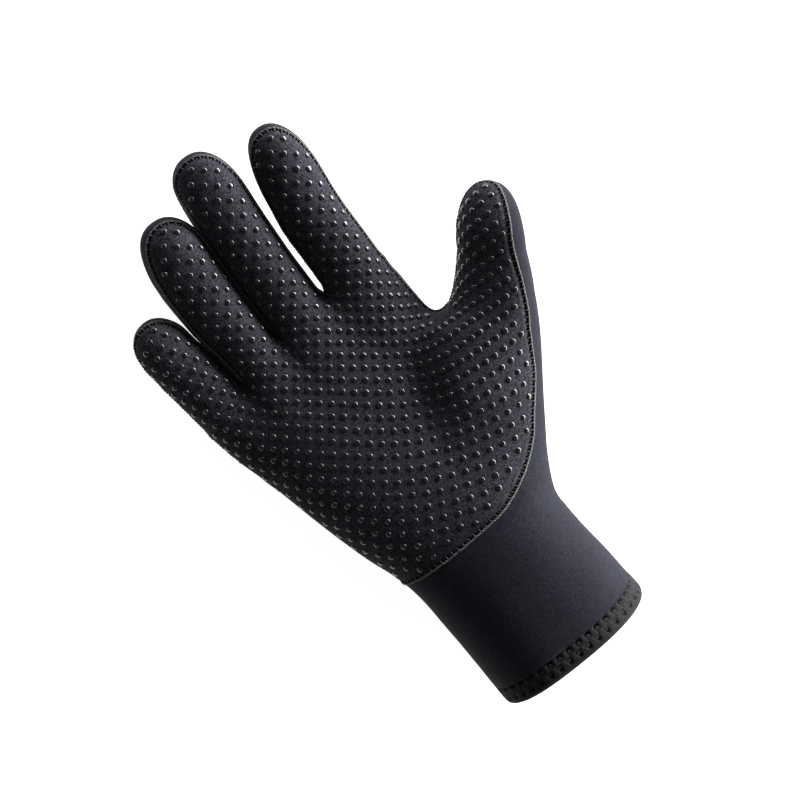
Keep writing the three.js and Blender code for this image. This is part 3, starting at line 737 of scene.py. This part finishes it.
grey_thread = thread("grey thread", (0.050, 0.055, 0.052), (0.130, 0.142, 0.134), 0.60, 0.2)
# The bars over the seam are the chain's grey yarn in a darker copy: painted shade for their place down in the
# groove.
shaded_bar_thread = thread("shaded bar thread", (0.018, 0.019, 0.020), (0.050, 0.053, 0.053), 0.70, 0.0)
black_thread = thread("black thread", (0.006, 0.006, 0.007), (0.014, 0.014, 0.015), 0.75, 0.0)

# Places beside the seam line
# Length of a stitch
STITCH = 2.9
stitches = int(round(seam_length / STITCH))
ahead = np.roll(seam, -2, 0) - np.roll(seam, 2, 0)
ahead /= np.linalg.norm(ahead, axis=1)[:, None]
inward = np.cross(seam_out, ahead)
inward /= np.linalg.norm(inward, axis=1)[:, None]
# Places across the seam: below 0 on the back panel, above 0 on the palm panel
BESIDE = np.linspace(-2.9, 3.5, 22)
strip = seam[:, None, :] + BESIDE[None, :, None] * inward[:, None, :]
strip, strip_out = settle(strip.reshape(-1, 3), 2)
strip = together(strip).reshape(len(seam), len(BESIDE), 3)
strip_out = strip_out.reshape(len(seam), len(BESIDE), 3)

# Room beside the seam: the way to the nearest other finger, which keeps threads out of its cloth
real_seam = together(seam)
others = np.array([depth_in(shape, *real_seam.T) for shape in FINGERS])
room = np.sort(others, 0)[1]
room = np.clip(room / 2.4, 0.12, 1.0)
for _ in range(8):
    room = (room + np.roll(room, 1) + np.roll(room, -1)) / 3


def on_strip(run, beside, height):
    """A place beside the seam: run along it as a share of its length, beside it and above the cloth in mm."""
    at = (run % 1.0) * len(seam)
    i = np.floor(at).astype(int)
    t = (at - i)[..., None]
    i, i2 = i % len(seam), (i + 1) % len(seam)
    b = np.clip((beside - BESIDE[0]) / (BESIDE[1] - BESIDE[0]), 0, len(BESIDE) - 1.001)
    j = np.floor(b).astype(int)
    s = (b - j)[..., None]
    mix = lambda g: ((g[i, j] * (1 - t) + g[i2, j] * t) * (1 - s)
                     + (g[i, j + 1] * (1 - t) + g[i2, j + 1] * t) * s)
    lift = room[i] * (1 - t[..., 0]) + room[i2] * t[..., 0]
    lift = np.where(height > 0, lift, 1.0)
    return mix(strip) + mix(strip_out) * (height * lift)[..., None]


SEAM_SINK = 1.25


def seam_groove(distance, reach):
    """How far the cloth sinks towards its seam, under the rolled edge strip."""
    return -SEAM_SINK * (1 - ramp(distance, reach - 1.4, reach + 0.1))


def to_seam(p):
    """Distance of each point from the seam line."""
    best = np.empty(len(p))
    line = seam[::2]
    for part in np.array_split(np.arange(len(p)), 40):
        best[part] = np.sqrt(((p[part, None, :] - line[None]) ** 2).sum(2).min(1))
    return best


distance = to_seam(points)
real = together(points)

# Panels
PALM_REACH, BACK_REACH = 2.0, 1.6
PANEL_WALL = WALL - 1.2
for name, faces, finish, slot, node_name, reach in (
        ("palm_cloth", palm_faces, dotted_cloth, "dotted_cloth", "palm_panel", PALM_REACH),
        ("back_cloth", back_faces, smooth_cloth, "smooth_cloth", "back_panel", BACK_REACH)):
    p, f, away = used_only(real, faces, distance)
    normal = normals_of(p, f)
    p = p + normal * seam_groove(away, reach)[:, None]
    panel = new_piece(name, p, f, finish)
    wall = panel.modifiers.new("wall", "SOLIDIFY")
    wall.thickness = PANEL_WALL * MM
    wall.offset = -1
    wall.use_rim = True
    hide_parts(node_name)

# Rolled edges of the two panels: depth of their foot, and half the length of a hollow between stitches
EDGE_FOOT, HOLLOW_HALF = -1.9, 0.74


def edge_strip(name, beside, heights, hollow_from, hollow_to, depth, finish):
    """A closed strip along the seam. Its top follows heights across, less depth times a spot between each two
    stitches: exp(-(along / HOLLOW_HALF)^4) exp(-(beside the hollow's middle / its half width)^4)."""
    count = int(round(seam_length / EDGE_STEP))
    run = (np.arange(count) / count)[:, None]
    phase = (run * stitches) % 1.0 - 0.5
    beside = np.array(beside)[None, :]
    middle, half = (hollow_from + hollow_to) / 2, (hollow_to - hollow_from) / 2
    spot = np.exp(-((phase * STITCH) / HOLLOW_HALF) ** 4) * np.exp(-((beside - middle) / half) ** 4)
    height = np.array(heights)[None, :] - depth * spot
    top = on_strip(run + 0 * beside, beside + 0 * run, height)
    low = on_strip(run + 0 * beside[:, [-1, 0]], beside[:, [-1, 0]] + 0 * run, np.full((count, 2), EDGE_FOOT))
    rings = np.concatenate([top, low], 1)
    # Painted shade: the hollow attribute darkens the cloth faintly along the band of the hollows and strongly
    # in each hollow.
    dark = np.clip(0.28 * np.exp(-((beside - middle) / half) ** 4) + 0.9 * spot, 0, 1)
    hollow = np.concatenate([dark, np.zeros((count, 2))], 1)
    faces = grid_faces(count, rings.shape[1], True, True)
    if beside[0, -1] < beside[0, 0]:
        faces = faces[:, ::-1]
    piece = new_piece(name, rings.reshape(-1, 3), faces, finish)
    mark = piece.data.attributes.new("hollow", "FLOAT", "POINT")
    mark.data.foreach_set("value", hollow.astype(np.float32).ravel())
    return piece


edge_strip("palm_edge", [0.05, 0.25, 0.5, 0.75, 1.0, 1.25, 1.5, 1.8, 2.1, 2.5, 2.9, 3.2, 3.45],
           [-0.50, -0.36, -0.30, -0.28, -0.26, -0.20, -0.12, -0.03, 0.02, 0.03, 0.03, 0.01, -0.10],
           0.18, 1.08, 0.62, dotted_cloth)
edge_strip("back_edge", [-0.05, -0.2, -0.45, -0.75, -1.05, -1.4, -1.8, -2.3, -2.6, -2.85],
           [-0.55, -0.25, 0.0, 0.09, 0.09, 0.06, 0.04, 0.03, 0.01, -0.10],
           -4.0, -3.8, 0.0, smooth_cloth)


# Thread over the seam: radii of its bars, of its twisted strands and of the hem's zigzag
BAR_RADIUS, STRAND_RADIUS, ZIGZAG_RADIUS = 0.27, 0.25, 0.25


def tubes(paths, radius, sides=5):
    """Closed tubes along paths (n, steps, 3): a ring square to the path at each step, narrower at the ends."""
    n, steps, _ = paths.shape
    run = np.gradient(paths, axis=1)
    run /= np.linalg.norm(run, axis=2)[..., None]
    first = np.cross(run, np.array([0.31, 0.53, 0.79]))
    first /= np.linalg.norm(first, axis=2)[..., None]
    second = np.cross(run, first)
    angle = np.arange(sides) * 2 * np.pi / sides
    ring = (first[:, :, None, :] * np.cos(angle)[None, None, :, None]
            + second[:, :, None, :] * np.sin(angle)[None, None, :, None])
    taper = np.ones(steps)
    taper[0] = taper[-1] = 0.35
    points = paths[:, :, None, :] + ring * (radius * taper)[None, :, None, None]
    one = grid_faces(steps, sides, False, True)
    one = np.concatenate([one[:, [0, 1, 2]], one[:, [0, 2, 3]]])
    fan = np.arange(1, sides - 1)
    start = np.stack([np.zeros_like(fan), fan, fan + 1], 1)
    end = (steps - 1) * sides + start[:, ::-1]
    one = np.concatenate([one, start, end])
    faces = (one[None] + (np.arange(n) * steps * sides)[:, None, None]).reshape(-1, 3)
    return points.reshape(-1, 3), faces


def outward(points, faces):
    """Faces turned so that the whole holds a positive volume."""
    p = points[faces]
    volume = np.einsum("ij,ij->i", p[:, 0], np.cross(p[:, 1], p[:, 2])).sum()
    return faces if volume > 0 else faces[:, ::-1]


def bar(begin, finish_at, beside, heights):
    """Paths of one thread at each stitch, from one place along and across the seam to another."""
    t = np.linspace(0, 1, len(beside))[None, :]
    run = (np.arange(stitches)[:, None] + 0.5 + begin + (finish_at - begin) * t) / stitches
    return on_strip(run, np.array(beside)[None, :] + 0 * run, np.array(heights)[None, :] + 0 * run)


over = bar(-0.16, 0.14, [1.25, 1.15, 1.0, 0.75, 0.4, 0.05, -0.3, -0.65, -0.85, -0.95],
           [-0.70, -0.48, -0.32, -0.22, -0.10, 0.08, 0.24, 0.18, -0.08, -0.4])
over_points, over_faces = tubes(over, BAR_RADIUS)
# Two strands twisted once a stitch, swaying and lifting by slow sines
turns = np.linspace(0, 1, 2 * len(seam), endpoint=False)
sway, lift = (sum(np.sin(2 * np.pi * turns * round(stitches * rate) + 9 * rate) for rate in rates) / 3
              for rates in ((0.23, 0.37, 0.61), (0.17, 0.31, 0.53)))
chain = []
for half_turn in (0.0, np.pi):
    twist = 2 * np.pi * turns * stitches + half_turn
    chain.append(on_strip(turns, -0.46 + 0.10 * sway + 0.20 * np.cos(twist),
                          0.08 + 0.10 * lift + 0.20 * np.sin(twist)))
chain_points, chain_faces = tubes(np.array(chain), STRAND_RADIUS)
# The bars take the darker copy of the yarn, with its painted shade.
new_piece("seam_thread", over_points, outward(over_points, over_faces), shaded_bar_thread)
new_piece("seam_chain", chain_points, outward(chain_points, chain_faces), grey_thread)

# Grip dots: mean radius and height, the way that they keep from the seam, and from each other
DOT_RADIUS, DOT_HEIGHT, DOT_CLEAR, DOTS_APART = 1.30, 0.56, 2.5, 2.6
# Where the dots stand closest, beside the thumb's web, and the turn of their rows on the palm
WEB_PLACE, WEB_REACH = (46.0, 30.0), 24.0
LATTICE_TURN = math.radians(42.0)


def turn_of(p):
    """How far the lattice of dots is turned from the palm's own, in degrees: more towards the thumb."""
    q = p[:, 0] * math.cos(LATTICE_TURN) - p[:, 1] * math.sin(LATTICE_TURN)
    base = np.interp(q, [-14, 6, 16, 32, 46, 60], [0, 9, 13, 18, 25, 28])
    dx, dy = p[:, 0] - THUMB_FORM["root"][0], p[:, 1] - THUMB_FORM["root"][1]
    along = dx * THUMB_FORM["heading"][0] + dy * THUMB_FORM["heading"][1]
    across = dx * THUMB_FORM["heading"][1] - dy * THUMB_FORM["heading"][0]
    thumb = ramp(along, 15, 60) * ramp(across, -42, -14)
    turn = base + (39 - base) * thumb
    little = ramp(p[:, 1], 35, 70) * ramp(-p[:, 0], 30, 40)
    return turn * (1 - little) - 19 * little


def columns_apart(p):
    """Way between neighbouring columns of dots: less over the knuckles, least beside the thumb's web."""
    hand = np.interp(p[:, 1], [-40, -15, 10, 60, 90, 120], [5.3, 5.2, 4.8, 4.7, 4.9, 5.1])
    web = np.exp(-((p[:, 0] - WEB_PLACE[0]) ** 2 + (p[:, 1] - WEB_PLACE[1]) ** 2) / WEB_REACH**2)
    return hand * (1 - 0.22 * web)


def rows_apart(p):
    """Way between neighbouring rows of dots: most at the fingertips."""
    return np.interp(p[:, 1], [-40, 20, 50, 75, 95, 120], [5.3, 5.2, 4.8, 4.7, 5.2, 5.8])


def lattice_places(p, faces):
    """Two fields over the cloth whose slopes follow the turned lattice as nearly as they can, by least
    squares: conjugate gradients on the faces' slopes. Dots stand where both fields are whole numbers."""
    corner = p[faces]
    cross = np.cross(corner[:, 1] - corner[:, 0], corner[:, 2] - corner[:, 0])
    double = np.maximum(np.linalg.norm(cross, axis=1), 1e-9)
    normal = cross / double[:, None]
    slopes = np.stack([np.cross(normal, corner[:, (i + 2) % 3] - corner[:, (i + 1) % 3])
                       for i in range(3)], 1)
    slopes /= double[:, None, None]
    area = double / 2
    stiff = area[:, None, None] * np.einsum("tik,tjk->tij", slopes, slopes)
    middle = corner.mean(1)
    angle = np.radians(turn_of(middle)) - LATTICE_TURN
    fields = []
    flat = faces.reshape(-1)
    weigh = lambda values: np.bincount(flat, values.reshape(-1), len(p))
    diagonal = np.maximum(weigh(np.einsum("tii->ti", stiff)), 1e-9)
    for quarter, apart in ((0, columns_apart(middle)), (math.pi / 2, rows_apart(middle))):
        aim = np.stack([np.cos(angle + quarter), np.sin(angle + quarter), 0 * angle], 1)
        lean = (aim * normal).sum(1) / np.maximum(1 + normal[:, 2], 0.25)
        aim = (aim - lean[:, None] * (normal + np.array([0, 0, 1.0]))) / apart[:, None]
        want = weigh(area[:, None] * np.einsum("tik,tk->ti", slopes, aim))
        start = np.array([math.cos(quarter - LATTICE_TURN), math.sin(quarter - LATTICE_TURN)])
        x = (p[:, :2] @ start) / apart.mean()
        push = lambda v: weigh(np.einsum("tij,tj->ti", stiff, v[faces]))
        left = want - push(x)
        ready = left / diagonal
        way = ready.copy()
        power = left @ ready
        for _ in range(500):
            pushed = push(way)
            pace = power / (way @ pushed)
            x += pace * way
            left -= pace * pushed
            ready = left / diagonal
            power, last = left @ ready, power
            way = ready + (power / last) * way
        fields.append(x)
    field = np.stack(fields, 1)[faces]
    whole = np.ceil(field.min(1))
    inside = (whole <= field.max(1)).all(1)
    f, w, tri = field[inside], whole[inside], faces[inside]
    e1, e2, d = f[:, 1] - f[:, 0], f[:, 2] - f[:, 0], w - f[:, 0]
    det = e1[:, 0] * e2[:, 1] - e1[:, 1] * e2[:, 0]
    det = np.where(np.abs(det) < 1e-12, 1e-12, det)
    b1 = (d[:, 0] * e2[:, 1] - d[:, 1] * e2[:, 0]) / det
    b2 = (e1[:, 0] * d[:, 1] - e1[:, 1] * d[:, 0]) / det
    hit = (b1 >= -1e-6) & (b2 >= -1e-6) & (b1 + b2 <= 1 + 1e-6)
    share = np.stack([1 - b1 - b2, b1, b2], 1)[hit]
    return tri[hit], share


p, f, away = used_only(real, palm_faces, distance)
normal = normals_of(p, f)
tri, share = lattice_places(p, f)
read = lambda column: (column[tri] * share.reshape(share.shape + (1,) * (column.ndim - 1))).sum(1)
dot_at, dot_out, dot_away = read(p), read(normal), read(away)
# Dots stand clear of the seam, of the panel's steep sides and of each other.
keep = (dot_away > DOT_CLEAR) & ((dot_out[:, 2] > 0.45) | (dot_at[:, 0] > 48))
dot_at, dot_out = dot_at[keep], dot_out[keep]
gap = np.linalg.norm(dot_at[:, None] - dot_at[None], axis=2) + 100 * np.tri(len(dot_at))
keep = gap.min(0) > DOTS_APART
dot_at, dot_out = dot_at[keep], dot_out[keep]
dot_out /= np.linalg.norm(dot_out, axis=1)[:, None]


def domes(at, out, radius, height, sides=10):
    """Closed domes: rings of a flattened ball, wide at a foot just under the cloth."""
    first = np.cross(out, np.array([0.0, 1.0, 0.0]))
    first /= np.linalg.norm(first, axis=1)[:, None]
    second = np.cross(out, first)
    angle = np.arange(sides) * 2 * np.pi / sides
    rings = [(1.0, -0.25), (0.99, 0.10), (0.84, 0.56), (0.48, 0.90)]
    points = [at + out * (-0.25 * height)[:, None]]
    for wide, high in rings:
        spoke = first[:, None] * np.cos(angle)[None, :, None] + second[:, None] * np.sin(angle)[None, :, None]
        points.extend(np.moveaxis(at[:, None] + spoke * (wide * radius)[:, None, None]
                                  + out[:, None] * (high * height)[:, None, None], 1, 0))
    points.append(at + out * height[:, None])
    points = np.stack(points, 1)
    count = points.shape[1]
    one = []
    for r in range(len(rings) - 1):
        for s in range(sides):
            a, b = 1 + r * sides + s, 1 + r * sides + (s + 1) % sides
            one += [(a, b, b + sides), (a, b + sides, a + sides)]
    for s in range(sides):
        one.append((0, 1 + (s + 1) % sides, 1 + s))
        top = 1 + (len(rings) - 1) * sides
        one.append((count - 1, top + s, top + (s + 1) % sides))
    faces = (np.array(one)[None] + (np.arange(len(at)) * count)[:, None, None]).reshape(-1, 3)
    return points.reshape(-1, 3), faces


chance = np.random.default_rng(7)
dot_radius = DOT_RADIUS + 0.06 * chance.standard_normal(len(dot_at)).clip(-2, 2)
dot_height = DOT_HEIGHT + 0.05 * chance.standard_normal(len(dot_at)).clip(-2, 2)
dot_points, dot_faces = domes(dot_at, dot_out, dot_radius, dot_height)
new_piece("grip_dots", dot_points, outward(dot_points, dot_faces), dot_rubber)

# Hem
# The hem stands HEM_OUT out of the gauntlet, HEM_GAP below it. HEM_STITCH is the width of one zigzag.
HEM_HEIGHT, HEM_WALL, HEM_OUT, HEM_GAP = 9.0, 3.6, 0.35, 0.3
HEM_STITCH = 4.85
angle = np.linspace(0, 2 * np.pi, 2400, endpoint=False)
mouth_wide, mouth_middle, mouth_deep = BODY["wide"][0], BODY["middle"][0], BODY["deep"][0]


def mouth_ring(turn, out, along):
    """A place round the mouth: a squared ellipse grown by out, slanted, flat where it lies."""
    power = 2 / BODY_SQUARENESS
    c, s = np.cos(turn), np.sin(turn)
    x = np.sign(c) * np.abs(c) ** power * (mouth_wide + out)
    z = mouth_middle + np.sign(s) * np.abs(s) ** power * (mouth_deep + out)
    floor = np.maximum(-out, 0)
    z = floor - soft_min(-(z - floor), 0 * z, 1.2)
    return np.stack([x + BODY["side"][0], HEM_Y + along - MOUTH_SLANT * x, z], -1)


around = mouth_ring(angle, 0 * angle, 0 * angle)
around = np.concatenate([around, around[:1]])
lengths = np.concatenate([[0], np.cumsum(np.linalg.norm(np.diff(around, axis=0), axis=1))])
hem_length = lengths[-1]
hem_stitches = 2 * int(round(hem_length / HEM_STITCH / 2))


def turn_at(share):
    """The angle of a place at that share of the way round the mouth."""
    return np.interp((share % 1.0) * hem_length, lengths, np.append(angle, 2 * np.pi))


# The two rows of needle holes, from the edge
LOW_ROW, HIGH_ROW = 3.7, 8.2
columns = hem_stitches * 10
share = (np.arange(columns) / columns)[:, None]
outside = np.array([0.0, 0.25, 0.6, 1.0, 1.5, 2.0, 2.5, 3.0, 3.5, 4.0, 4.5, 5.0, 5.5, 6.0, 6.5, 7.0])
round_angle = np.linspace(0, np.pi, 9)
along = np.concatenate([-outside, -(HEM_HEIGHT - HEM_WALL / 2) - HEM_WALL / 2 * np.sin(round_angle),
                        [-5.0, -3.0, -1.0, 0.0]]) - HEM_GAP
out = np.concatenate([HEM_OUT * ramp(outside, -0.6, 3.2),
                      HEM_OUT - HEM_WALL / 2 + HEM_WALL / 2 * np.cos(round_angle),
                      np.full(4, HEM_OUT - HEM_WALL)])
from_edge = HEM_HEIGHT + HEM_GAP + along
on_face = np.concatenate([np.ones(len(outside) + 1), np.zeros(len(along) - len(outside) - 1)])
phase = share * hem_stitches


def beside_hole(row, offset, long=0.85, wide=0.85):
    """A hollow round each needle hole of a row: exp(-r^3), with r the distance in half lengths and widths."""
    gap = ((phase - offset + 0.5) % 1.0 - 0.5) * HEM_STITCH
    return np.exp(-((gap / long) ** 2 + ((from_edge[None, :] - row) / wide) ** 2) ** 1.5) * on_face


holes = beside_hole(LOW_ROW, 0.0) + beside_hole(HIGH_ROW, 0.5, 1.35, 0.75)
low_third, high_third = (2 * LOW_ROW + HIGH_ROW) / 3, (LOW_ROW + 2 * HIGH_ROW) / 3
small = sum(beside_hole(row, offset, 0.6, 0.6) for row, offset in (
    (low_third, 1 / 6), (high_third, 1 / 3), (low_third, -1 / 6), (high_third, -1 / 3)))
groove = np.exp(-((from_edge - (LOW_ROW + HIGH_ROW) / 2) / 2.6) ** 2)[None, :] * on_face
relief = -1.0 * holes - 0.35 * small - 0.10 * groove
hem_points = mouth_ring(turn_at(share) + 0 * along[None, :], out[None, :] + relief,
                        along[None, :] + 0 * share)
hem_faces = grid_faces(columns, len(along), True, True)
hem = new_piece("hem_band", hem_points.reshape(-1, 3), hem_faces, hem_cloth)
# Painted shade: the hollow attribute darkens the hem cloth in and round the needle holes.
mark = hem.data.attributes.new("hollow", "FLOAT", "POINT")
mark.data.foreach_set("value", np.clip(holes + 0.5 * small, 0, 1).astype(np.float32).ravel())
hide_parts("cuff_hem")

# The zigzag thread dives into the hem twice on each leg.
steps = np.linspace(0, 1, 19)
legs = np.arange(2 * hem_stitches)[:, None]
way = np.where(legs % 2 == 0, steps, 1 - steps)
share = (legs / 2 + steps[None, :] / 2) / hem_stitches
dip = np.abs(np.cos(1.5 * np.pi * 2 * steps))[None, :] ** 6
path = mouth_ring(turn_at(share), HEM_OUT - 0.36 - 0.5 * dip - 0.3 * ramp(way, 0.6, 1.0),
                  -HEM_GAP - (HEM_HEIGHT - (LOW_ROW + (HIGH_ROW - LOW_ROW) * way)))
zig_points, zig_faces = tubes(path, ZIGZAG_RADIUS)
new_piece("hem_thread", zig_points, outward(zig_points, zig_faces), black_thread)

# Floor, camera and light
bpy.ops.mesh.primitive_plane_add(size=6, location=(0, 0, -0.0002))
floor = bpy.context.object
floor.name = "floor"
pale, tree, shader = material("pale floor", (0.90, 0.90, 0.90), 0.9, Emission_Color=(1, 1, 1, 1),
                              Emission_Strength=0.90)
floor.data.materials.append(pale)

# The camera looks at TARGET from 7 degrees to the right of and 11 degrees beyond straight above.
TARGET = np.array([8.0, 14.0, 18.0])
DISTANCE = 1000.0
VIEW_TURN = math.radians(42.0)
# The sensor in mm, and the focal length and the picture's width in pixels
SENSOR, FOCAL, PICTURE = 36, 2500, 800
WORLD_LIGHT = 0.145
toward = np.array([math.tan(math.radians(7.0)), math.tan(math.radians(11.0)), 1.0])
toward /= np.linalg.norm(toward)
y_seen = np.array([0.0, 1.0, 0.0]) - toward[1] * toward
y_seen /= np.linalg.norm(y_seen)
x_seen = np.cross(y_seen, toward)
up = math.cos(VIEW_TURN) * y_seen + math.sin(VIEW_TURN) * x_seen
right = math.cos(VIEW_TURN) * x_seen - math.sin(VIEW_TURN) * y_seen


def facing(axis_x, axis_y, axis_z, at):
    """A placing with these axes at a point in millimetres."""
    turned = Matrix(np.stack([axis_x, axis_y, axis_z], 1).tolist()).to_4x4()
    turned.translation = Vector((at * MM).tolist())
    return turned


lens = bpy.data.cameras.new("camera")
lens.sensor_width = SENSOR
lens.lens = SENSOR * FOCAL / PICTURE
lens.clip_start, lens.clip_end = 0.05, 20
camera = bpy.data.objects.new("camera", lens)
bpy.context.scene.collection.objects.link(camera)
camera.matrix_world = facing(right, up, toward, TARGET + DISTANCE * toward)
bpy.context.scene.camera = camera


def soft_light(name, way, distance, wide, high, power):
    """A soft box that far away in a direction given by the picture's right, up and towards the viewer."""
    direction = way[0] * right + way[1] * up + way[2] * toward
    direction /= np.linalg.norm(direction)
    light = bpy.data.lights.new(name, "AREA")
    light.shape = "RECTANGLE"
    light.energy, light.size, light.size_y = power, wide, high
    lamp = bpy.data.objects.new(name, light)
    bpy.context.scene.collection.objects.link(lamp)
    side = np.cross(np.array([0.0, 0.0, 1.0]), direction)
    side /= np.linalg.norm(side)
    lamp.matrix_world = facing(side, np.cross(direction, side), direction,
                               TARGET + distance * 1000 * direction)


soft_light("key", (0.779, 0.545, 0.309), 1.5, 1.8, 0.45, 88)
soft_light("side", (0.97, -0.22, 0.03), 1.5, 1.2, 0.2, 22)
soft_light("rim", (0.02, 0.93, 0.36), 1.5, 1.6, 0.4, 8)
world = bpy.data.worlds.new("world")
bpy.context.scene.world = world
world.use_nodes = True
world.node_tree.nodes["Background"].inputs["Color"].default_value = (1, 1, 1, 1)
world.node_tree.nodes["Background"].inputs["Strength"].default_value = WORLD_LIGHT
bpy.context.scene.view_settings.view_transform = "Standard"
